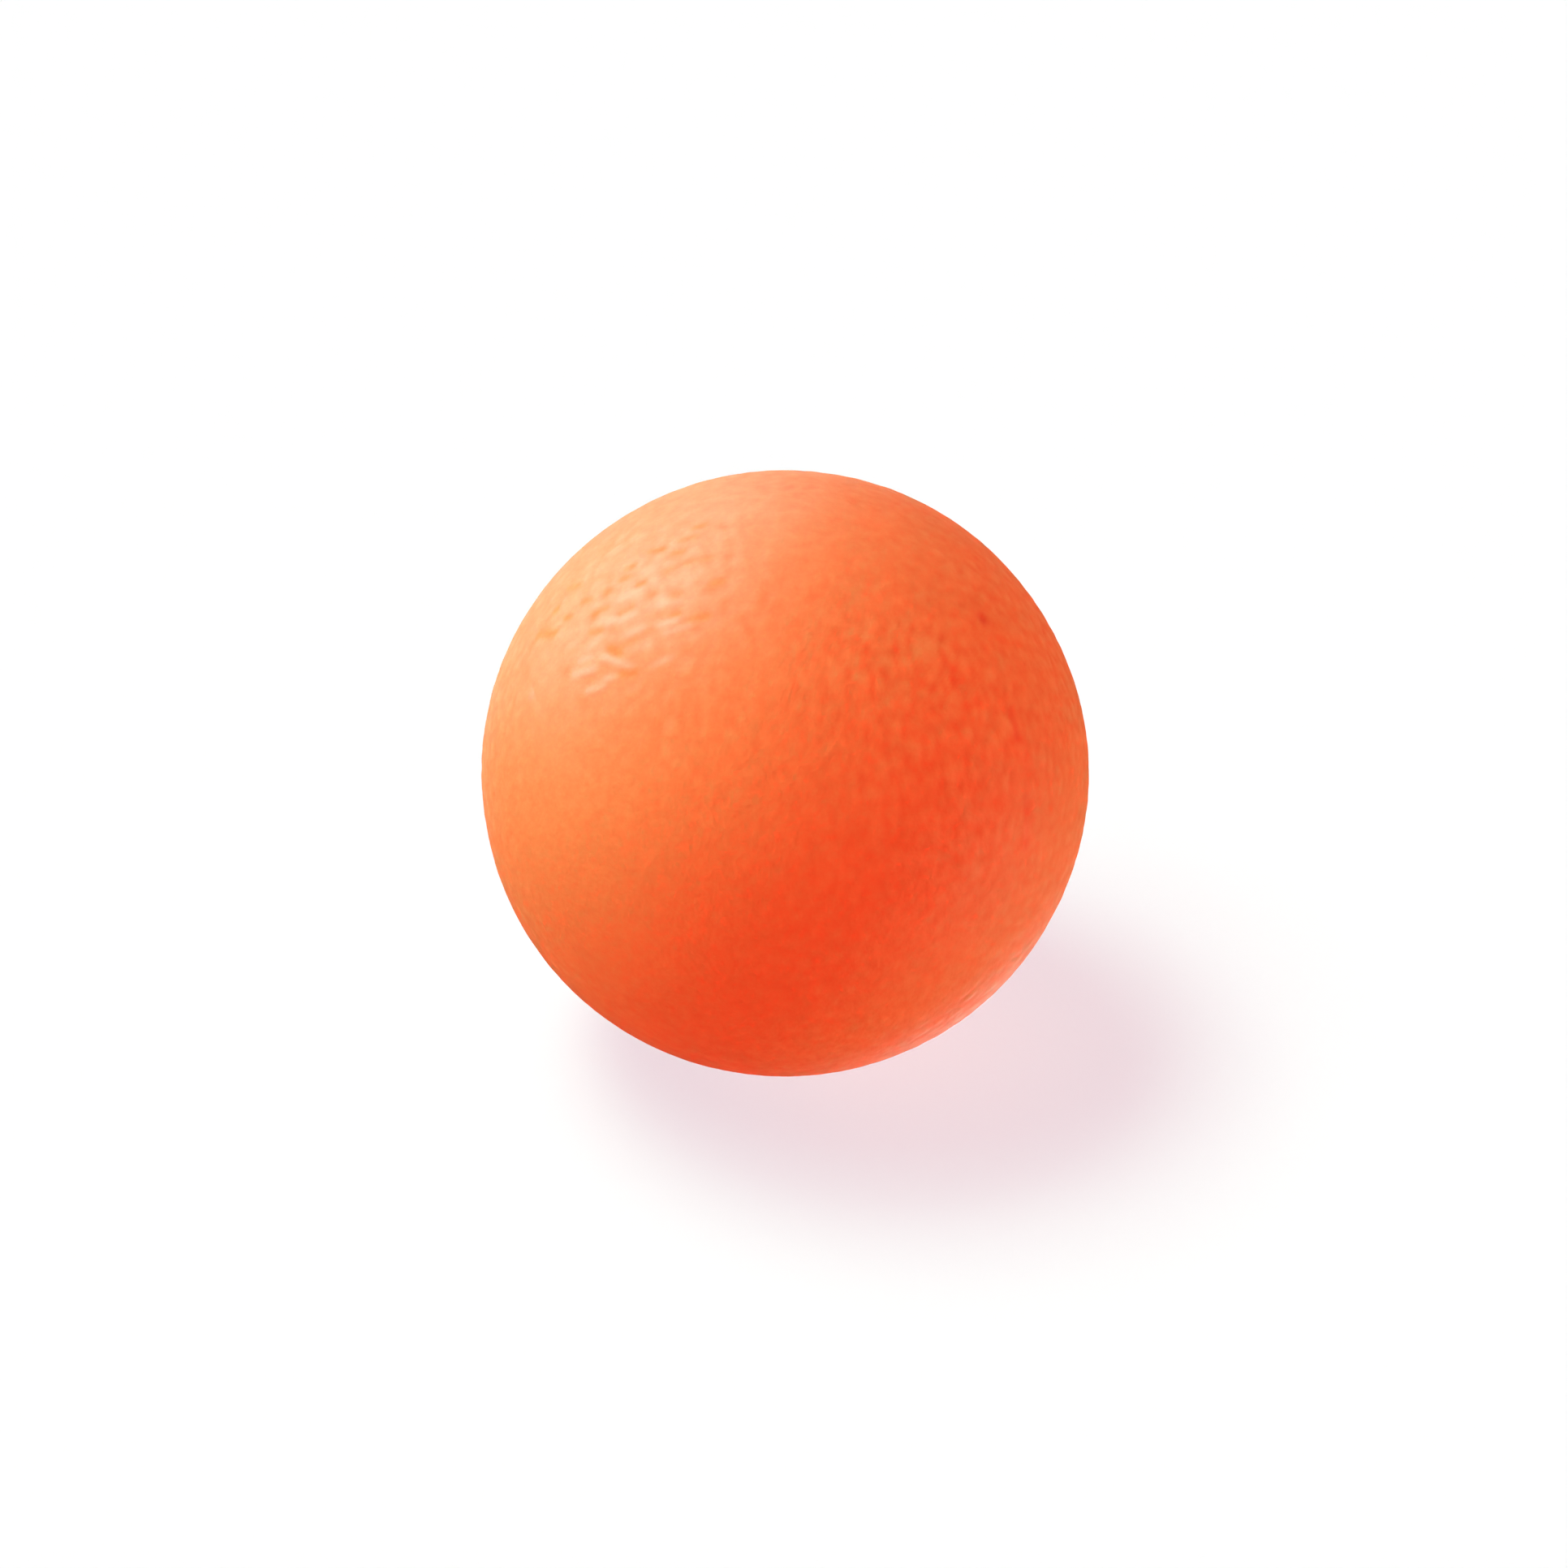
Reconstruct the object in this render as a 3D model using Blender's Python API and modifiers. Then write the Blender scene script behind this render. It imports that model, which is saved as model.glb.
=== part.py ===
"""Hand exercise ball: a soft gel core in a thin elastomer skin, 50 mm across.

The skin is moulded as two half shells, which lap and are bonded at the equator.
The gel goes in through a port in the underside, and a push-in plug closes it.
The ball stands on the small flat that its own weight presses into its underside.
Metres, +Z up. The origin is the centre of that flat.
"""

import math

import bpy

# Driving dimensions, in metres
BALL_DIAMETER = 0.050
SKIN_WALL = 0.0016
REST_SAG = 0.0006  # how deep the ball's own weight presses the underside flat
SEAM_LAP = 0.0024  # how far the upper shell's inner lip reaches below the seam
GAP = 0.0003  # clearance between neighbouring pieces

# Fill port and plug, in metres
PORT_HEAD_RADIUS = 0.0036
PORT_HEAD_DEPTH = 0.0015
PORT_BORE_RADIUS = 0.0023
BOSS_RADIUS = 0.0065
BOSS_TOP = 0.0034  # height of the thickened skin around the port
PLUG_RECESS = 0.0002  # how far the plug's face stays clear of the table
PLUG_CHAMFER = 0.0003
BARB_RADIUS = 0.0032
BARB_TIP_RADIUS = 0.0016
BARB_LAND = 0.0005
BARB_HEIGHT = 0.0024

# Facets of the turned shapes
TURN_STEPS = 48
ARC_STEP_ANGLE = math.radians(7.5)
SHARP_ANGLE = math.radians(35)

# Sizes that follow from the driving dimensions
OUTER_RADIUS = BALL_DIAMETER / 2
INNER_RADIUS = OUTER_RADIUS - SKIN_WALL
CORE_RADIUS = INNER_RADIUS - GAP
CENTRE_Z = OUTER_RADIUS - REST_SAG
SEAM_Z = CENTRE_Z
LAP_RADIUS = OUTER_RADIUS - SKIN_WALL / 2
BARB_BASE = BOSS_TOP + GAP
PLUG_TOP = BARB_BASE + BARB_HEIGHT

# Linear colours and roughness read from the photo
SKIN_COLOUR = (0.88, 0.160, 0.050)
SKIN_ROUGHNESS = 0.42
GEL_COLOUR = (0.88, 0.120, 0.035)
GEL_ROUGHNESS = 0.25
PLUG_COLOUR = (0.80, 0.130, 0.040)
PLUG_ROUGHNESS = 0.50


def angle_at_height(radius, z):
    """The angle from straight up at which a sphere about the ball's centre has height z."""
    return math.acos((z - CENTRE_Z) / radius)


def angle_at_width(radius, width):
    """The angle from straight up at which the sphere's underside is width from the axis."""
    return math.pi - math.asin(width / radius)


def arc(radius, start, end):
    """Profile points (r, z) on a sphere about the ball's centre, between two angles from straight up."""
    steps = max(1, round(abs(end - start) / ARC_STEP_ANGLE))
    angles = [start + (end - start) * i / steps for i in range(steps + 1)]
    return [(radius * math.sin(a), CENTRE_Z + radius * math.cos(a)) for a in angles]


def make_material(name, colour, roughness):
    """A Principled material of one colour."""
    material = bpy.data.materials.new(name)
    material.use_nodes = True
    shader = material.node_tree.nodes["Principled BSDF"]
    shader.inputs["Base Color"].default_value = (*colour, 1.0)
    shader.inputs["Roughness"].default_value = roughness
    shader.inputs["Metallic"].default_value = 0.0
    return material


def make_empty(name, z, collection, parent=None):
    """An empty on the ball's axis at height z."""
    empty = bpy.data.objects.new(name, None)
    collection.objects.link(empty)
    empty.empty_display_size = OUTER_RADIUS
    empty.location = (0, 0, z - (parent.location.z if parent else 0))
    empty.parent = parent
    return empty


def make_turned(name, profile, material, parent, collection, closed=False):
    """A solid turned about the ball's axis, with its origin at its parent.

    The profile runs down the outer side and back up the inner side. It ends on the axis
    unless it is closed.
    """
    base_z = parent.matrix_world.translation.z
    points = [(r, 0, z - base_z) for r, z in profile]
    edges = [(i, i + 1) for i in range(len(points) - 1)]
    if closed:
        edges.append((len(points) - 1, 0))
    outline = bpy.data.meshes.new(name + "_profile")
    outline.from_pydata(points, edges, [])
    turned = bpy.data.objects.new(name, outline)
    collection.objects.link(turned)
    turned.parent = parent

    screw = turned.modifiers.new("Turn", "SCREW")
    screw.axis = "Z"
    screw.steps = TURN_STEPS
    screw.render_steps = TURN_STEPS
    screw.use_merge_vertices = True
    screw.merge_threshold = 0.00001

    # The turned mesh takes the profile's place, so that its rims can be marked sharp.
    graph = bpy.context.evaluated_depsgraph_get()
    mesh = bpy.data.meshes.new_from_object(turned.evaluated_get(graph))
    mesh.name = name
    mesh.shade_smooth()
    mesh.set_sharp_from_angle(angle=SHARP_ANGLE)
    mesh.materials.append(material)
    turned.modifiers.clear()
    turned.data = mesh
    bpy.data.meshes.remove(outline)
    return turned


def skin_upper_profile():
    """The upper half shell: a dome whose inner half of wall runs on as a lip below the seam."""
    rim = SEAM_Z + GAP / 2
    lip_end = SEAM_Z - SEAM_LAP
    lip_radius = LAP_RADIUS - GAP / 2
    outside = arc(OUTER_RADIUS, 0, angle_at_height(OUTER_RADIUS, rim))
    lip = [(lip_radius, rim), (lip_radius, lip_end)]
    inside = arc(INNER_RADIUS, angle_at_height(INNER_RADIUS, lip_end), 0)
    return outside + lip + inside


def skin_lower_profile():
    """The lower half shell: flat where it rests, rebated at the seam, with the fill port's boss inside."""
    rim = SEAM_Z - GAP / 2
    rebate_end = SEAM_Z - SEAM_LAP - GAP
    rebate_radius = LAP_RADIUS + GAP / 2
    outside = arc(
        OUTER_RADIUS, angle_at_height(OUTER_RADIUS, rim), angle_at_height(OUTER_RADIUS, 0)
    )
    port = [
        (PORT_HEAD_RADIUS, 0),
        (PORT_HEAD_RADIUS, PORT_HEAD_DEPTH),
        (PORT_BORE_RADIUS, PORT_HEAD_DEPTH),
        (PORT_BORE_RADIUS, BOSS_TOP),
        (BOSS_RADIUS, BOSS_TOP),
    ]
    inside = arc(
        INNER_RADIUS,
        angle_at_width(INNER_RADIUS, BOSS_RADIUS),
        angle_at_height(INNER_RADIUS, rebate_end),
    )
    rebate = [(rebate_radius, rebate_end), (rebate_radius, rim)]
    return outside + port + inside + rebate


def gel_core_profile():
    """The gel: a ball that fills the skin, hollowed where the boss and the plug's barb stand in it."""
    pocket_radius = BOSS_RADIUS + GAP
    outside = arc(CORE_RADIUS, 0, angle_at_width(CORE_RADIUS, pocket_radius))
    pocket = [
        (pocket_radius, BARB_BASE),
        (BARB_RADIUS + GAP, BARB_BASE),
        (BARB_RADIUS + GAP, BARB_BASE + BARB_LAND),
        (BARB_TIP_RADIUS + GAP, PLUG_TOP + GAP),
        (0, PLUG_TOP + GAP),
    ]
    return outside + pocket


def fill_plug_profile():
    """The plug: a tapered barb that grips above the boss, a shank in the bore and a flush head."""
    shank_radius = PORT_BORE_RADIUS - GAP
    head_radius = PORT_HEAD_RADIUS - GAP
    head_top = PORT_HEAD_DEPTH - GAP
    return [
        (0, PLUG_TOP),
        (BARB_TIP_RADIUS, PLUG_TOP),
        (BARB_RADIUS, BARB_BASE + BARB_LAND),
        (BARB_RADIUS, BARB_BASE),
        (shank_radius, BARB_BASE),
        (shank_radius, head_top),
        (head_radius, head_top),
        (head_radius, PLUG_RECESS + PLUG_CHAMFER),
        (head_radius - PLUG_CHAMFER, PLUG_RECESS),
        (0, PLUG_RECESS),
    ]


def main():
    for old in list(bpy.data.objects):
        bpy.data.objects.remove(old, do_unlink=True)

    ball = bpy.data.collections.new("hand_exercise_ball")
    bpy.context.scene.collection.children.link(ball)

    skin = make_material("skin", SKIN_COLOUR, SKIN_ROUGHNESS)
    skin_below = make_material("skin_below", SKIN_COLOUR, SKIN_ROUGHNESS)
    gel = make_material("gel", GEL_COLOUR, GEL_ROUGHNESS)
    plug = make_material("plug", PLUG_COLOUR, PLUG_ROUGHNESS)

    # The base stands on the table. The crown slides down the ball's axis when the ball is squeezed.
    base = make_empty("base", 0, ball)
    crown = make_empty("crown", CENTRE_Z, ball, parent=base)
    bpy.context.view_layer.update()

    make_turned("skin_upper", skin_upper_profile(), skin, crown, ball)
    make_turned("skin_lower", skin_lower_profile(), skin_below, base, ball, closed=True)
    make_turned("gel_core", gel_core_profile(), gel, base, ball)
    make_turned("fill_plug", fill_plug_profile(), plug, base, ball)


main()
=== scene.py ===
import math
from collections import namedtuple

import bmesh
import bpy
import numpy as np
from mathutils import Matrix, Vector, noise


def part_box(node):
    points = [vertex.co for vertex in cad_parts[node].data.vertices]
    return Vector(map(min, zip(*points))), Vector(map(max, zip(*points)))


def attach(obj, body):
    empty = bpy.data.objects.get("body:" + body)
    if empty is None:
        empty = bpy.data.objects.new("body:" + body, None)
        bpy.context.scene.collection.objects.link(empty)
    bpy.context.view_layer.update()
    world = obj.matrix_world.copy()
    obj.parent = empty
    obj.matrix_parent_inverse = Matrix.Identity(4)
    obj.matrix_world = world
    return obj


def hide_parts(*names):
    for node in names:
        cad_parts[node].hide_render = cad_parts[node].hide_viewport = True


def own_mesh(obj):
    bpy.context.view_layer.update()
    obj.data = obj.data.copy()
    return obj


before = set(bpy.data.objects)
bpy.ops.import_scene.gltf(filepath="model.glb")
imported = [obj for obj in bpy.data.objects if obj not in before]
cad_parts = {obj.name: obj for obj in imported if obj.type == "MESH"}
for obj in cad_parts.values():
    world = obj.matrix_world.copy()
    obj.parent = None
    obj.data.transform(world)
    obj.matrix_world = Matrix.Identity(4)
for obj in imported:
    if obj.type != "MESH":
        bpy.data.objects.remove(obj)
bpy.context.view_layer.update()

MM = 0.001

# Sizes read from the frame
UPPER_LOW, UPPER_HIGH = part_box("skin_upper")
PLUG_LOW, PLUG_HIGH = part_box("fill_plug")
CORE_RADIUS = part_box("gel_core")[1].x
BALL_RADIUS = (UPPER_HIGH.x - UPPER_LOW.x) / 2
BALL_HEIGHT = UPPER_HIGH.z
CENTRE = Vector((0, 0, BALL_HEIGHT - BALL_RADIUS))

# Layers of the skin's relief
Layer = namedtuple("Layer", "spacing height seed")
ROUNDNESS = Layer(18 * MM, 0.10 * MM, 1)
SWELL = Layer(6 * MM, 0.015 * MM, 2)
PEEL = Layer(0.9 * MM, 0.022 * MM, 3)
PORES = Layer(1.7 * MM, 0.050 * MM, 4)
PATCHES = Layer(12 * MM, 1, 5)  # not a relief: patches where wrinkles take the place of pores
WRINKLES = Layer(1.6 * MM, 0.036 * MM, 6)
STREAKS = Layer(0.62 * MM, 0.066 * MM, 7)
NOISE_SHIFT = (3.7, 1.9, 5.3)  # how far each seed moves a smooth noise, in spacings
CELL_SHIFT = (2.3, 4.1, 1.3)  # how far each seed moves a pattern of cells, in spacings
CELL_DRAW = 9.7  # spreads the centres of cells, so that each cell draws a number of its own

# How the layers of relief are mixed
PATCH_EDGE = 0.5  # a patch grows from nothing at minus this noise to its full strength at plus this
PORE_RADIUS = 0.34  # of the spacing
PORE_LEAST_DEPTH = 0.5  # of the deepest pore's
PORES_ELSEWHERE = 0.6  # strength of the pores outside the dimpled part and the patches
WRINKLE_HALF_WIDTH = 0.30  # of the spacing
WRINKLES_LEAST = 0.25  # strength of the wrinkles outside the patches
STREAKS_ELSEWHERE = 0.35  # strength of the streaks in patches outside the streaked part
STREAK_STRETCH = 1.9  # how much longer than wide a streak is
LEAST_STRENGTH = 0.15  # strength below which pores and streaks never fall
SMOOTHING = 0.7  # how much of the relief a smooth part takes away

# Skin's mesh, and how its gloss and its painted shading follow the relief
SKIN_CUTS = 124  # squares along each side of the cube that the ball is drawn from
FLAT_BLEND = 0.15 * MM  # height within which the ball runs over into its flat
RELIEF_FADE = (0.2 * MM, 1.4 * MM)  # heights between which the relief fades in above the flat
TONE_RELIEF = 0.13 * MM  # relief, up or down, at the two ends of the range of colours
GLOSS_RELIEF = 0.034 * MM  # relief, up or down, at the two ends of the range of gloss
GLOSS_SHARE = 0.5  # how much of the texture, beside the marks, counts in the gloss
DIMPLE_PAINTED_LIGHT = -0.4  # how much of a dimple counts in the colour: it is painted paler than the skin round it, as painted light

# Fill port, plug, and the hollow in the gel round them
PORT_SLIT = 0.12 * MM
PORT_HEAD_DEPTH = 1.5 * MM
PORT_BORE_RADIUS = 2.3 * MM
PORT_CUT_BELOW = MM
PLUG_HEAD_TOP = 1.2 * MM
PLUG_SHANK_RADIUS = 2.0 * MM
PLUG_EDGE = 0.25 * MM
BARB_BASE = 3.7 * MM
BARB_LAND_TOP = 4.2 * MM
BARB_RADIUS = 3.2 * MM
BARB_TIP_RADIUS = 1.6 * MM
GATE_RADIUS = 0.8 * MM
GATE_FLOOR = 0.6  # radius of the gate dimple's floor, as a share of its rim's
GATE_DEPTH = 0.15 * MM
POCKET_RADIUS = 6.8 * MM
HOLLOW_RADIUS = 3.5 * MM
HOLLOW_TIP_RADIUS = 1.9 * MM
HOLLOW_TOP = 6.4 * MM

# Facets
TURN_STEPS = 96
CORE_STEPS = 48
EDGE_STEPS = 5
MERGE_DISTANCE = 0.01 * MM
SHARP_DEGREES = 40
NO_LENGTH = 1e-12  # stands for the squared length of a mark that starts and ends at one pixel

# Photograph's frame and the ball in it, in pixels
FRAME_PIXELS = 1932
BALL_PIXEL = (967, 953)
BALL_PIXEL_RADIUS = 374

# Camera
CAMERA_ELEVATION = math.radians(32)
LENS_MM = 85
SENSOR_MM = 36
CLIP_START = 0.01
PIXEL_STEP = SENSOR_MM / LENS_MM / FRAME_PIXELS  # how far aside each next pixel looks, per depth

# Parts of the skin that the photograph shows as dimpled, streaked, smooth and even in colour:
# middle pixel, reach, and for the even parts the share of the colour's changes that is left out
DIMPLED = ((770, 770), 8 * MM)
STREAKED = ((1150, 880), 12.5 * MM)
SMOOTH = [((760, 1120), 13 * MM), ((680, 690), 6 * MM)]
EVEN_TONE = [((740, 740), 12 * MM, 0.75), ((1215, 1040), 6 * MM, 0.35)]

# Marks on the skin that the photograph shows: pixels where each starts and ends, half its width
# and its height in millimetres. A mark of negative height is sunk. Dimples and ridges lie in and
# round the highlight and show in the gloss, and dimples are also painted paler as painted light.
# Blemishes lie on the right, and their relief is painted into the colour too: darker where sunk,
# as painted shade, and paler where raised, as painted light.
DIMPLES = [
    ((733, 756), (748, 750), 0.37, -0.028),
    ((752, 800), (764, 806), 0.40, -0.038),
    ((768, 797), (783, 789), 0.30, -0.022),
    ((729, 780), (742, 777), 0.32, -0.032),
    ((664, 783), (684, 781), 0.44, -0.035),
    ((803, 679), (817, 677), 0.37, -0.030),
    ((740, 729), (753, 727), 0.32, -0.018),
    ((685, 752), (685, 752), 0.35, -0.060),
    ((764, 716), (778, 711), 0.33, -0.026),
    ((793, 741), (808, 731), 0.37, -0.010),
    ((806, 760), (818, 756), 0.30, -0.012),
    ((796, 779), (807, 775), 0.30, -0.015),
    ((853, 763), (870, 760), 0.32, -0.040),
    ((760, 833), (782, 829), 0.32, -0.036),
    ((840, 666), (857, 661), 0.35, -0.024),
    ((787, 721), (794, 718), 0.32, -0.036),
    ((764, 756), (780, 748), 0.30, -0.028),
    ((828, 759), (836, 757), 0.32, -0.032),
    ((828, 735), (838, 731), 0.36, -0.014),
    ((697, 762), (703, 761), 0.32, -0.036),
    ((821, 705), (831, 700), 0.36, -0.018),
    ((845, 695), (853, 691), 0.36, -0.022),
    ((831, 682), (840, 680), 0.34, -0.034),
    ((878, 719), (890, 716), 0.38, -0.028),
    ((719, 742), (727, 740), 0.32, -0.022),
    ((702, 724), (713, 722), 0.36, -0.026),
    ((773, 700), (780, 698), 0.34, -0.036),
    ((866, 690), (875, 687), 0.34, -0.024),
    ((857, 650), (866, 647), 0.34, -0.036),
]
RIDGES = [
    ((764, 740), (778, 734), 0.35, 0.020),
    ((813, 772), (832, 766), 0.35, 0.036),
    ((763, 767), (781, 758), 0.32, 0.020),
    ((745, 811), (778, 824), 0.30, 0.046),
    ((715, 816), (729, 810), 0.30, 0.032),
    ((748, 838), (760, 834), 0.30, 0.050),
    ((800, 748), (838, 742), 0.30, 0.014),
    ((822, 781), (850, 772), 0.30, 0.036),
    ((804, 822), (828, 812), 0.30, 0.029),
    ((727, 801), (740, 787), 0.36, 0.020),
    ((776, 782), (792, 775), 0.30, 0.030),
    ((733, 769), (748, 765), 0.32, 0.010),
    ((748, 772), (757, 764), 0.30, 0.026),
    ((785, 802), (800, 796), 0.30, 0.012),
    ((709, 834), (732, 827), 0.33, 0.060),
    ((725, 854), (743, 848), 0.33, 0.056),
    ((655, 859), (655, 859), 0.36, 0.080),
]
BLEMISHES_AND_SHADING = [
    ((1134, 808), (1147, 801), 0.62, 0.090),
    ((1226, 912), (1240, 895), 0.66, 0.063),
    ((1166, 818), (1186, 852), 0.50, -0.040),
    ((1245, 878), (1254, 908), 0.50, -0.065),
    ((1254, 908), (1266, 936), 0.55, -0.025),
    ((1264, 984), (1264, 1044), 0.45, -0.050),
    ((1211, 762), (1211, 762), 0.60, -0.155),
]

# Noise in the finishes
Grain = namedtuple("Grain", "spacing detail roughness", defaults=(2.0, 0.5))
NOISE_RANGE = (0.25, 0.75)  # values between which a noise mostly lies
TINT_PLACES = (0.3, 0.7)  # values of a noise at which a colour reaches each of its two tints

# Skin's finish, with linear colours. Places of 0 to 1 run from sunk to raised relief, painted darker
# where sunk as painted shade and paler where raised as painted light.
SKIN_PAINTED_SHADING = [
    (0.00, (0.800, 0.072, 0.018)),
    (0.25, (0.860, 0.113, 0.028)),
    (0.50, (0.900, 0.163, 0.041)),
    (0.75, (0.930, 0.213, 0.056)),
]
SKIN_CLOUD = Grain(9 * MM, detail=1)
SKIN_CLOUD_TINTS = [(0.99, 0.94, 0.93), (1.0, 1.0, 1.0)]
SKIN_SPECKLE = Grain(0.35 * MM, detail=3, roughness=0.6)
SKIN_SPECKLE_TINTS = [(1.0, 0.90, 0.88), (1.0, 1.0, 1.0)]
SKIN_COAT = [(0.0, 0.022), (0.5, 0.10), (1.0, 0.187)]
SKIN_COAT_ROUGHNESS = 0.55
SKIN_SATIN = Grain(2 * MM)
SKIN_ROUGHNESS = (0.52, 0.62)
SKIN_BUMP = Grain(0.75 * MM, detail=1.5)
SKIN_BUMP_DEPTH = 0.080 * MM
SKIN_GRAIN = Grain(0.16 * MM)
SKIN_GRAIN_DEPTH = 0.012 * MM
SKIN_IOR = 3.8
SKIN_REACH = (100000.0, 0.0, 0.0)  # how far red, green and blue light goes in, in millimetres

# Gel's finish
GEL_CLOUD = Grain(6 * MM, detail=4)
GEL_TINTS = [(0.86, 0.11, 0.030), (0.93, 0.16, 0.045)]
GEL_SATIN = Grain(3 * MM)
GEL_ROUGHNESS = (0.18, 0.30)
GEL_RIPPLE = Grain(2.5 * MM)
GEL_RIPPLE_DEPTH = 0.05 * MM
GEL_REACH = (16.0, 1.0, 0.5)  # in millimetres

# Plug's finish
PLUG_CLOUD = Grain(1.2 * MM, detail=4)
PLUG_TINTS = [(0.78, 0.12, 0.036), (0.86, 0.16, 0.048)]
PLUG_SATIN = Grain(0.5 * MM)
PLUG_ROUGHNESS = (0.42, 0.58)
PLUG_GRAIN = Grain(0.2 * MM, detail=3)
PLUG_GRAIN_DEPTH = 0.008 * MM

# Floor: its look is a glow plus a share of diffuse light, so that the lit floor is white and
# the shadow a pale pink. The light that it throws back on the ball is that of a plain grey floor.
FLOOR_SIDE = 6.0
FLOOR_SQUARES = 8
FLOOR_COLOUR = (0.06, 0.06, 0.06)
FLOOR_GLOW = (0.652, 0.445, 0.536)
FLOOR_SHARE = (0.221, 0.350, 0.293)

# World: white to the rays that show it, and a faint light from all sides
WHITE = (1, 1, 1, 1)
SHOWN_STRENGTH = 1.0
AMBIENT = 0.02

# Lamps: name, azimuth from the camera's side round to its right, elevation, strength and spread.
# Angles are in degrees.
SHADOW_LAMPS = [
    ("key", 280, 62, 1.1, 26),
    ("back", 238, 66, 2.08, 26),
]
# Broad lamps that cast no shadow. The bounce stands in for light from the table round the ball.
SOFT_LAMPS = [
    ("side", 269, 27, 4.65, 50),
    ("bounce", 83, -28, 3.05, 50),
]
# Lamps that show as sheen on the skin and don't light it otherwise
SHEEN_LAMPS = [
    ("sheen_top", 232, 45, 28.0, 30),
    ("sheen_back", 194, 30, 8.5, 30),
    ("sheen_side", 236, 17, 15.5, 36),
]
# Sheen lamps that stand for the bright table seen in the rim, so they cast no shadow either
RIM_LAMPS = [
    ("rim_back", 198, -8, 5.0, 50),
    ("rim_right", 152, -51, 2.7, 20),
]


def link(name, data):
    """A new object of the scene that holds a mesh, a camera or a lamp."""
    item = bpy.data.objects.new(name, data)
    bpy.context.scene.collection.objects.link(item)
    return item


def camera_axes():
    """The photograph's right, up and back directions in the frame of the ball."""
    right = Vector((1, 0, 0))
    up = Vector((0, math.sin(CAMERA_ELEVATION), math.cos(CAMERA_ELEVATION)))
    back = Vector((0, -math.cos(CAMERA_ELEVATION), math.sin(CAMERA_ELEVATION)))
    return right, up, back


def camera_distance():
    """How far from the ball's centre the camera gives the ball its size in the photograph."""
    spread = BALL_PIXEL_RADIUS / (FRAME_PIXELS / 2) * SENSOR_MM / 2 / LENS_MM
    return BALL_RADIUS / math.sin(math.atan(spread))


def camera_place():
    """Where the camera stands, with the ball at its own place in the photograph."""
    right, up, back = camera_axes()
    distance = camera_distance()
    across = (FRAME_PIXELS / 2 - BALL_PIXEL[0]) * PIXEL_STEP * distance
    above = (BALL_PIXEL[1] - FRAME_PIXELS / 2) * PIXEL_STEP * distance
    return CENTRE + right * across + up * above + back * distance


def make_camera():
    data = bpy.data.cameras.new("camera")
    data.lens = LENS_MM
    data.sensor_width = SENSOR_MM
    data.clip_start = CLIP_START
    camera = link("camera", data)
    camera.location = camera_place()
    camera.rotation_euler = camera_axes()[2].to_track_quat("Z", "Y").to_euler()
    bpy.context.scene.camera = camera


def surface_at(pixel):
    """The point of the ball's surface that the photograph shows at a pixel."""
    right, up, back = camera_axes()
    eye = camera_place()
    across = (pixel[0] - FRAME_PIXELS / 2) * PIXEL_STEP
    above = (FRAME_PIXELS / 2 - pixel[1]) * PIXEL_STEP
    sight = (right * across + up * above - back).normalized()
    to_centre = CENTRE - eye
    nearest = to_centre.dot(sight)
    beside = to_centre.length_squared - nearest ** 2
    depth = nearest - math.sqrt(max(BALL_RADIUS ** 2 - beside, 0))
    return np.array(eye + sight * depth)


def layer(points, kind):
    """A layer of smooth noise at each point, about its height up and down."""
    shift = Vector([kind.seed * step for step in NOISE_SHIFT])
    return kind.height * np.array([noise.noise(Vector(p) / kind.spacing + shift) for p in points])


def cells(points, kind):
    """Scattered cells: distances to the nearest and the next centre, and the cell's own number."""
    shift = Vector([kind.seed * step for step in CELL_SHIFT])
    found = [noise.voronoi(Vector(p) / kind.spacing + shift) for p in points]
    nearest = np.array([distances[0] for distances, _ in found])
    next_one = np.array([distances[1] for distances, _ in found])
    number = np.array([noise.cell(centres[0] * CELL_DRAW) for _, centres in found])
    return nearest, next_one, number


def ramp(value, low, high):
    """0 below low, 1 above high and a smooth step between."""
    t = np.clip((value - low) / (high - low), 0, 1)
    return t * t * (3 - 2 * t)


def level(values):
    """Values shifted to an average of nought, so that they neither raise nor sink the skin."""
    return values - values.mean()


def mark(points, start, end, half_width):
    """A soft stroke on the ball between two pixels: 1 along its middle, fading to 0 beside it."""
    first = surface_at(start)
    along = surface_at(end) - first
    share = np.clip((points - first) @ along / max(along @ along, NO_LENGTH), 0, 1)
    away = np.linalg.norm(points - first - share[:, None] * along, axis=1)
    return np.exp(-(away / (half_width * MM)) ** 2)


def marks(points, strokes):
    """Relief of marks that the photograph shows."""
    return sum(
        height * MM * mark(points, start, end, half_width)
        for start, end, half_width, height in strokes
    )


def part_of_skin(points, pixel, reach):
    """1 in the middle of a part of the skin, fading to 0 at about twice its reach."""
    return np.exp(-(np.linalg.norm(points - surface_at(pixel), axis=1) / reach) ** 2)


def pores(points):
    """Round pores of many depths, scattered over the skin."""
    nearest, _, number = cells(points, PORES)
    depth = PORE_LEAST_DEPTH + (1 - PORE_LEAST_DEPTH) * number
    return -PORES.height * level(np.exp(-(nearest / PORE_RADIUS) ** 2) * depth)


def wrinkles(points):
    """A net of wrinkles between cells."""
    nearest, next_one, _ = cells(points, WRINKLES)
    return -WRINKLES.height * level(1 - ramp(next_one - nearest, 0, 2 * WRINKLE_HALF_WIDTH))


def streaks(points):
    """Noise that is drawn out along the photograph's upright."""
    up = np.array(camera_axes()[1])
    drawn = points - np.outer(points @ up * (1 - 1 / STREAK_STRETCH), up)
    return layer(drawn, STREAKS)


def broad_relief(points):
    """How far the skin's slow swellings stand out of a true ball at each point."""
    return layer(points, ROUNDNESS) + layer(points, SWELL)


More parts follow.
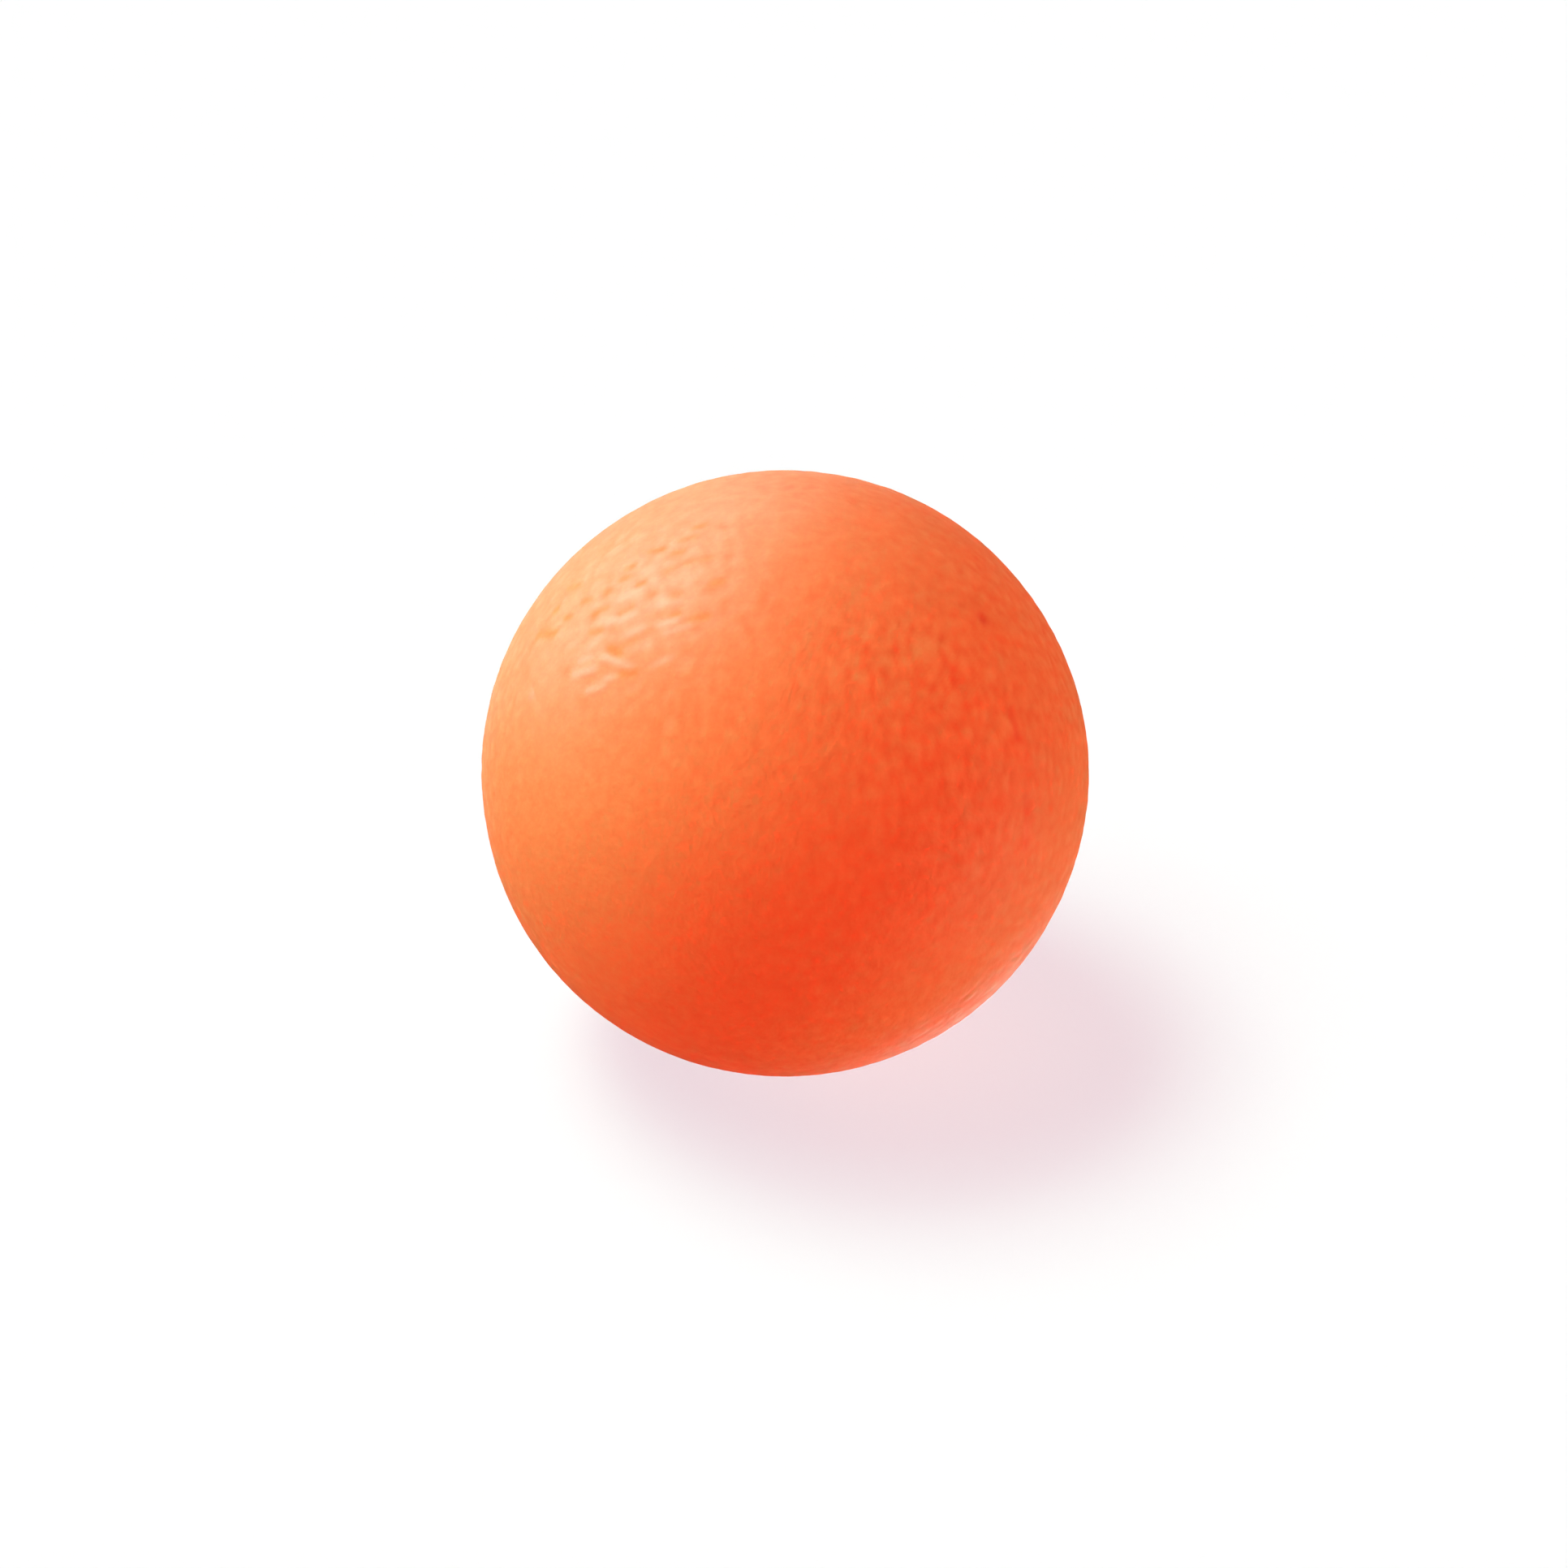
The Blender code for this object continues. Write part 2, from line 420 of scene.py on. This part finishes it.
def fine_relief(points):
    """How far the skin's peel, pores, wrinkles and streaks stand out at each point."""
    patch = ramp(layer(points, PATCHES), -PATCH_EDGE, PATCH_EDGE)
    dimpled = part_of_skin(points, *DIMPLED)
    streaked = part_of_skin(points, *STREAKED)
    rough = 1 - SMOOTHING * sum(part_of_skin(points, *place) for place in SMOOTH)
    pore_strength = np.clip(PORES_ELSEWHERE * (1 - patch) + dimpled - streaked, LEAST_STRENGTH, 1)
    wrinkle_strength = WRINKLES_LEAST + (1 - WRINKLES_LEAST) * patch
    streak_strength = np.clip(STREAKS_ELSEWHERE * patch + streaked, LEAST_STRENGTH, 1)
    relief = layer(points, PEEL)
    relief += pores(points) * pore_strength
    relief += wrinkles(points) * wrinkle_strength
    relief += streaks(points) * streak_strength
    return relief * rough


def keep_values(mesh, name, values):
    """Stores a value of -1 to 1 at each point of the mesh, as an attribute of 0 to 1."""
    stored = mesh.attributes.new(name, "FLOAT", "POINT")
    stored.data.foreach_set("value", np.clip(0.5 + 0.5 * values, 0, 1))


def keep_rest_place(mesh):
    """Stores each point's place at rest, so that the finish stays put when the ball is squeezed."""
    places = mesh.attributes.new("rest", "FLOAT_VECTOR", "POINT")
    places.data.foreach_set("vector", np.array([v.co for v in mesh.vertices]).ravel())


def ball_mesh():
    """A ball of even squares, with the skin's relief, resting on its flat."""
    grid = bmesh.new()
    bmesh.ops.create_cube(grid, size=2)
    bmesh.ops.subdivide_edges(grid, edges=grid.edges[:], cuts=SKIN_CUTS - 1, use_grid_fill=True)
    on_cube = np.array([v.co for v in grid.verts])
    spread = np.tan(on_cube * math.pi / 4)
    outward = spread / np.linalg.norm(spread, axis=1)[:, None]
    points = outward * BALL_RADIUS + np.array(CENTRE)
    fade = ramp(points[:, 2], *RELIEF_FADE)
    texture = fine_relief(points) * fade
    blemishes_and_shading = marks(points, BLEMISHES_AND_SHADING)
    dimples = marks(points, DIMPLES)
    polish = dimples + marks(points, RIDGES)
    even = sum(share * part_of_skin(points, pixel, reach) for pixel, reach, share in EVEN_TONE)
    # Painted shading: the relief darkens the colour where sunk, as painted shade, and lightens it where
    # raised, as painted light; dimples are painted paler as painted light.
    painted_shading = texture * (1 - even) + blemishes_and_shading + dimples * DIMPLE_PAINTED_LIGHT
    gloss = texture * GLOSS_SHARE + polish
    points += outward * (broad_relief(points) * fade + texture + blemishes_and_shading + polish)[:, None]
    z = points[:, 2]
    near = np.clip(z + FLAT_BLEND, 0, 2 * FLAT_BLEND)
    points[:, 2] = np.where(z < FLAT_BLEND, near ** 2 / (4 * FLAT_BLEND), z)
    for vertex, point in zip(grid.verts, points):
        vertex.co = point
    mesh = bpy.data.meshes.new("skin")
    grid.to_mesh(mesh)
    grid.free()
    keep_values(mesh, "painted_shading", painted_shading / TONE_RELIEF)
    keep_values(mesh, "gloss", gloss / GLOSS_RELIEF)
    return mesh


def apply_modifiers(piece):
    """Gives an object the mesh that it has with its modifiers, smooth but for its sharp edges."""
    plain = piece.data
    graph = bpy.context.evaluated_depsgraph_get()
    mesh = bpy.data.meshes.new_from_object(piece.evaluated_get(graph))
    piece.modifiers.clear()
    piece.data = mesh
    bpy.data.meshes.remove(plain)
    mesh.shade_smooth()
    mesh.set_sharp_from_angle(angle=math.radians(SHARP_DEGREES))


def turned(name, profile):
    """A solid turned about the Z axis. Its profile (r, z) starts on the axis and ends there."""
    outline = bpy.data.meshes.new(name)
    edges = [(i, i + 1) for i in range(len(profile) - 1)]
    outline.from_pydata([(r, 0, z) for r, z in profile], edges, [])
    piece = link(name, outline)
    screw = piece.modifiers.new("Turn", "SCREW")
    screw.steps = screw.render_steps = TURN_STEPS
    screw.use_merge_vertices = True
    screw.merge_threshold = MERGE_DISTANCE
    apply_modifiers(piece)
    return piece


def lower_edge(r, z, size):
    """Points of a quarter circle round (r, z), from its outermost point to its lowest."""
    angles = [-math.pi / 2 * i / EDGE_STEPS for i in range(EDGE_STEPS + 1)]
    return [(r + size * math.cos(a), z + size * math.sin(a)) for a in angles]


def port_cutter():
    """The space of the fill port: a wide mouth for the plug's head and a bore above it."""
    head = PLUG_HIGH.x + PORT_SLIT
    profile = [
        (0, HOLLOW_TOP),
        (PORT_BORE_RADIUS, HOLLOW_TOP),
        (PORT_BORE_RADIUS, PORT_HEAD_DEPTH),
        (head, PORT_HEAD_DEPTH),
        (head, -PORT_CUT_BELOW),
        (0, -PORT_CUT_BELOW),
    ]
    return turned("port_cutter", profile)


def make_skin():
    skin = link("skin", ball_mesh())
    cutter = port_cutter()
    cut = skin.modifiers.new("Port", "BOOLEAN")
    cut.operation = "DIFFERENCE"
    cut.solver = "MANIFOLD"
    cut.object = cutter
    apply_modifiers(skin)
    bpy.data.objects.remove(cutter)
    keep_rest_place(skin.data)
    skin.data.materials.clear()
    skin.data.materials.append(skin_material())
    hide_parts("skin_upper", "skin_lower")
    return skin


def make_plug():
    """The filler plug: a barbed shank, and a rounded head with the dimple of its mould gate."""
    head = PLUG_HIGH.x
    low = PLUG_LOW.z
    profile = [
        (0, PLUG_HIGH.z),
        (BARB_TIP_RADIUS, PLUG_HIGH.z),
        (BARB_RADIUS, BARB_LAND_TOP),
        (BARB_RADIUS, BARB_BASE),
        (PLUG_SHANK_RADIUS, BARB_BASE),
        (PLUG_SHANK_RADIUS, PLUG_HEAD_TOP),
        (head, PLUG_HEAD_TOP),
    ]
    profile += lower_edge(head - PLUG_EDGE, low + PLUG_EDGE, PLUG_EDGE)
    profile += [
        (GATE_RADIUS, low),
        (GATE_RADIUS * GATE_FLOOR, low + GATE_DEPTH),
        (0, low + GATE_DEPTH),
    ]
    plug = turned("plug", profile)
    keep_rest_place(plug.data)
    plug.data.materials.append(plug_material())
    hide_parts("fill_plug")
    return plug


def make_core():
    """The gel: a ball that fills the skin, hollowed where the port's boss and the barb stand in it."""
    foot = math.pi - math.asin(POCKET_RADIUS / CORE_RADIUS)
    angles = [foot * i / CORE_STEPS for i in range(CORE_STEPS + 1)]
    profile = [(CORE_RADIUS * math.sin(a), CENTRE.z + CORE_RADIUS * math.cos(a)) for a in angles]
    profile += [
        (POCKET_RADIUS, BARB_BASE),
        (HOLLOW_RADIUS, BARB_BASE),
        (HOLLOW_RADIUS, BARB_LAND_TOP),
        (HOLLOW_TIP_RADIUS, HOLLOW_TOP),
        (0, HOLLOW_TOP),
    ]
    core = turned("gel", profile)
    keep_rest_place(core.data)
    core.data.materials.append(gel_material())
    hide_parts("gel_core")
    return core


def new_material(name):
    """A node material, with its tree and its Principled shader."""
    material = bpy.data.materials.new(name)
    material.use_nodes = True
    tree = material.node_tree
    return material, tree, tree.nodes["Principled BSDF"]


def attribute(tree, name):
    """A node that reads an attribute of the mesh."""
    node = tree.nodes.new("ShaderNodeAttribute")
    node.attribute_name = name
    return node


def noise_node(tree, grain):
    """A noise texture at rest places."""
    node = tree.nodes.new("ShaderNodeTexNoise")
    node.inputs["Scale"].default_value = 1 / grain.spacing
    node.inputs["Detail"].default_value = grain.detail
    node.inputs["Roughness"].default_value = grain.roughness
    tree.links.new(attribute(tree, "rest").outputs["Vector"], node.inputs["Vector"])
    return node.outputs["Fac"]


def colour_ramp(tree, fac, stops):
    """A colour ramp over fac, with stops of (place, linear colour)."""
    node = tree.nodes.new("ShaderNodeValToRGB")
    elements = node.color_ramp.elements
    while len(elements) < len(stops):
        elements.new(0.5)
    for element, (place, colour) in zip(elements, stops):
        element.position = place
        element.color = (*colour, 1)
    tree.links.new(fac, node.inputs["Fac"])
    return node.outputs["Color"]


def tinted(tree, grain, tints):
    """A colour that a noise changes between two tints."""
    return colour_ramp(tree, noise_node(tree, grain), list(zip(TINT_PLACES, tints)))


def multiply(tree, one, other):
    """Two colours multiplied."""
    node = tree.nodes.new("ShaderNodeMix")
    node.data_type = "RGBA"
    node.blend_type = "MULTIPLY"
    node.inputs["Factor"].default_value = 1
    tree.links.new(one, node.inputs["A"])
    tree.links.new(other, node.inputs["B"])
    return node.outputs["Result"]


def vary_roughness(tree, shader, grain, limits):
    """Lets a noise change a shader's roughness between two limits."""
    node = tree.nodes.new("ShaderNodeMapRange")
    node.inputs["From Min"].default_value, node.inputs["From Max"].default_value = NOISE_RANGE
    node.inputs["To Min"].default_value, node.inputs["To Max"].default_value = limits
    tree.links.new(noise_node(tree, grain), node.inputs["Value"])
    tree.links.new(node.outputs["Result"], shader.inputs["Roughness"])


def bump(tree, grain, depth, below=None):
    """A bump of the given depth in metres, on top of the bump below it."""
    node = tree.nodes.new("ShaderNodeBump")
    node.inputs["Distance"].default_value = depth
    tree.links.new(noise_node(tree, grain), node.inputs["Height"])
    if below:
        tree.links.new(below, node.inputs["Normal"])
    return node.outputs["Normal"]


def let_light_in(shader, reach):
    """Lets light go into a shader, by a reach in millimetres for red, green and blue."""
    shader.inputs["Subsurface Weight"].default_value = 1.0
    shader.inputs["Subsurface Radius"].default_value = reach
    shader.inputs["Subsurface Scale"].default_value = MM


def skin_material():
    """Satin elastomer: light goes far in red and hardly in green and blue, so only red glows through."""
    material, tree, shader = new_material("skin")
    # Base colour holds the skin's own colour with painted shade and painted light from the relief.
    colour = colour_ramp(tree, attribute(tree, "painted_shading").outputs["Fac"], SKIN_PAINTED_SHADING)
    colour = multiply(tree, colour, tinted(tree, SKIN_CLOUD, SKIN_CLOUD_TINTS))
    colour = multiply(tree, colour, tinted(tree, SKIN_SPECKLE, SKIN_SPECKLE_TINTS))
    tree.links.new(colour, shader.inputs["Base Color"])
    greys = [(place, (weight, weight, weight)) for place, weight in SKIN_COAT]
    coat = colour_ramp(tree, attribute(tree, "gloss").outputs["Fac"], greys)
    tree.links.new(coat, shader.inputs["Coat Weight"])
    shader.inputs["Coat Roughness"].default_value = SKIN_COAT_ROUGHNESS
    vary_roughness(tree, shader, SKIN_SATIN, SKIN_ROUGHNESS)
    coarse = bump(tree, SKIN_BUMP, SKIN_BUMP_DEPTH)
    fine = bump(tree, SKIN_GRAIN, SKIN_GRAIN_DEPTH, below=coarse)
    tree.links.new(fine, shader.inputs["Normal"])
    shader.inputs["Specular IOR Level"].default_value = 0.0
    shader.subsurface_method = "RANDOM_WALK_SKIN"
    shader.inputs["Subsurface IOR"].default_value = SKIN_IOR
    let_light_in(shader, SKIN_REACH)
    return material


def gel_material():
    """Soft gel that light passes into, deeper in colour than the skin, with a little cloud in it."""
    material, tree, shader = new_material("gel")
    tree.links.new(tinted(tree, GEL_CLOUD, GEL_TINTS), shader.inputs["Base Color"])
    vary_roughness(tree, shader, GEL_SATIN, GEL_ROUGHNESS)
    tree.links.new(bump(tree, GEL_RIPPLE, GEL_RIPPLE_DEPTH), shader.inputs["Normal"])
    let_light_in(shader, GEL_REACH)
    return material


def plug_material():
    """Moulded elastomer, through which no light glows."""
    material, tree, shader = new_material("plug")
    tree.links.new(tinted(tree, PLUG_CLOUD, PLUG_TINTS), shader.inputs["Base Color"])
    vary_roughness(tree, shader, PLUG_SATIN, PLUG_ROUGHNESS)
    tree.links.new(bump(tree, PLUG_GRAIN, PLUG_GRAIN_DEPTH), shader.inputs["Normal"])
    return material


def empty_tree(owner):
    """The node tree of a new material or world, without its usual nodes."""
    owner.use_nodes = True
    owner.node_tree.nodes.clear()
    return owner.node_tree


def coloured(tree, kind, colour):
    """A new node that has a colour."""
    node = tree.nodes.new(kind)
    node.inputs["Color"].default_value = colour
    return node


def seen(tree):
    """1 for the rays that show a background: camera, glossy and transmission rays."""
    path = tree.nodes.new("ShaderNodeLightPath")
    highest = path.outputs["Is Camera Ray"]
    for name in ("Is Glossy Ray", "Is Transmission Ray"):
        node = tree.nodes.new("ShaderNodeMath")
        node.operation = "MAXIMUM"
        tree.links.new(highest, node.inputs[0])
        tree.links.new(path.outputs[name], node.inputs[1])
        highest = node.outputs[0]
    return highest


def end_tree(tree, output, lighting, shown):
    """Ends a tree with one shader for the rays that show it, and another for the rest."""
    out = tree.nodes.new(output)
    mix = tree.nodes.new("ShaderNodeMixShader")
    tree.links.new(seen(tree), mix.inputs[0])
    tree.links.new(lighting.outputs[0], mix.inputs[1])
    tree.links.new(shown.outputs[0], mix.inputs[2])
    tree.links.new(mix.outputs[0], out.inputs["Surface"])


def floor_material():
    material = bpy.data.materials.new("floor")
    tree = empty_tree(material)
    plain = coloured(tree, "ShaderNodeBsdfDiffuse", (*FLOOR_COLOUR, 1))
    glow = coloured(tree, "ShaderNodeEmission", (*FLOOR_GLOW, 1))
    share = coloured(tree, "ShaderNodeBsdfDiffuse", (*FLOOR_SHARE, 1))
    both = tree.nodes.new("ShaderNodeAddShader")
    tree.links.new(glow.outputs[0], both.inputs[0])
    tree.links.new(share.outputs[0], both.inputs[1])
    end_tree(tree, "ShaderNodeOutputMaterial", plain, both)
    return material


def make_floor():
    mesh = bpy.data.meshes.new("floor")
    grid = bmesh.new()
    squares = FLOOR_SQUARES
    bmesh.ops.create_grid(grid, x_segments=squares, y_segments=squares, size=FLOOR_SIDE / 2)
    grid.to_mesh(mesh)
    grid.free()
    mesh.materials.append(floor_material())
    floor = link("floor", mesh)


def make_lamp(name, azimuth, elevation, strength, spread):
    """A far lamp, so that it lights the floor evenly."""
    turn = math.radians(azimuth)
    rise = math.radians(elevation)
    aside = math.cos(rise)
    towards = Vector((math.sin(turn) * aside, -math.cos(turn) * aside, math.sin(rise)))
    data = bpy.data.lights.new(name, "SUN")
    data.energy = strength
    data.angle = math.radians(spread)
    lamp = link(name, data)
    lamp.rotation_euler = towards.to_track_quat("Z", "Y").to_euler()
    return lamp


def cast_no_shadow(lamp):
    lamp.data.use_shadow = False
    lamp.data.cycles.use_multiple_importance_sampling = False


def show_as_sheen(lamp):
    lamp.visible_diffuse = False
    lamp.visible_transmission = False


def make_lamps():
    for values in SHADOW_LAMPS:
        make_lamp(*values)
    for values in SOFT_LAMPS:
        cast_no_shadow(make_lamp(*values))
    for values in SHEEN_LAMPS:
        show_as_sheen(make_lamp(*values))
    for values in RIM_LAMPS:
        lamp = make_lamp(*values)
        show_as_sheen(lamp)
        cast_no_shadow(lamp)


def make_world():
    world = bpy.data.worlds.new("studio")
    bpy.context.scene.world = world
    tree = empty_tree(world)
    ambient = coloured(tree, "ShaderNodeBackground", WHITE)
    ambient.inputs["Strength"].default_value = AMBIENT
    shown = coloured(tree, "ShaderNodeBackground", WHITE)
    shown.inputs["Strength"].default_value = SHOWN_STRENGTH
    end_tree(tree, "ShaderNodeOutputWorld", ambient, shown)


def main():
    bpy.context.scene.view_settings.view_transform = "Standard"
    make_camera()
    for piece in (make_skin(), make_plug(), make_core()):
        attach(piece, "base")
        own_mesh(piece)
    make_floor()
    make_lamps()
    make_world()


main()
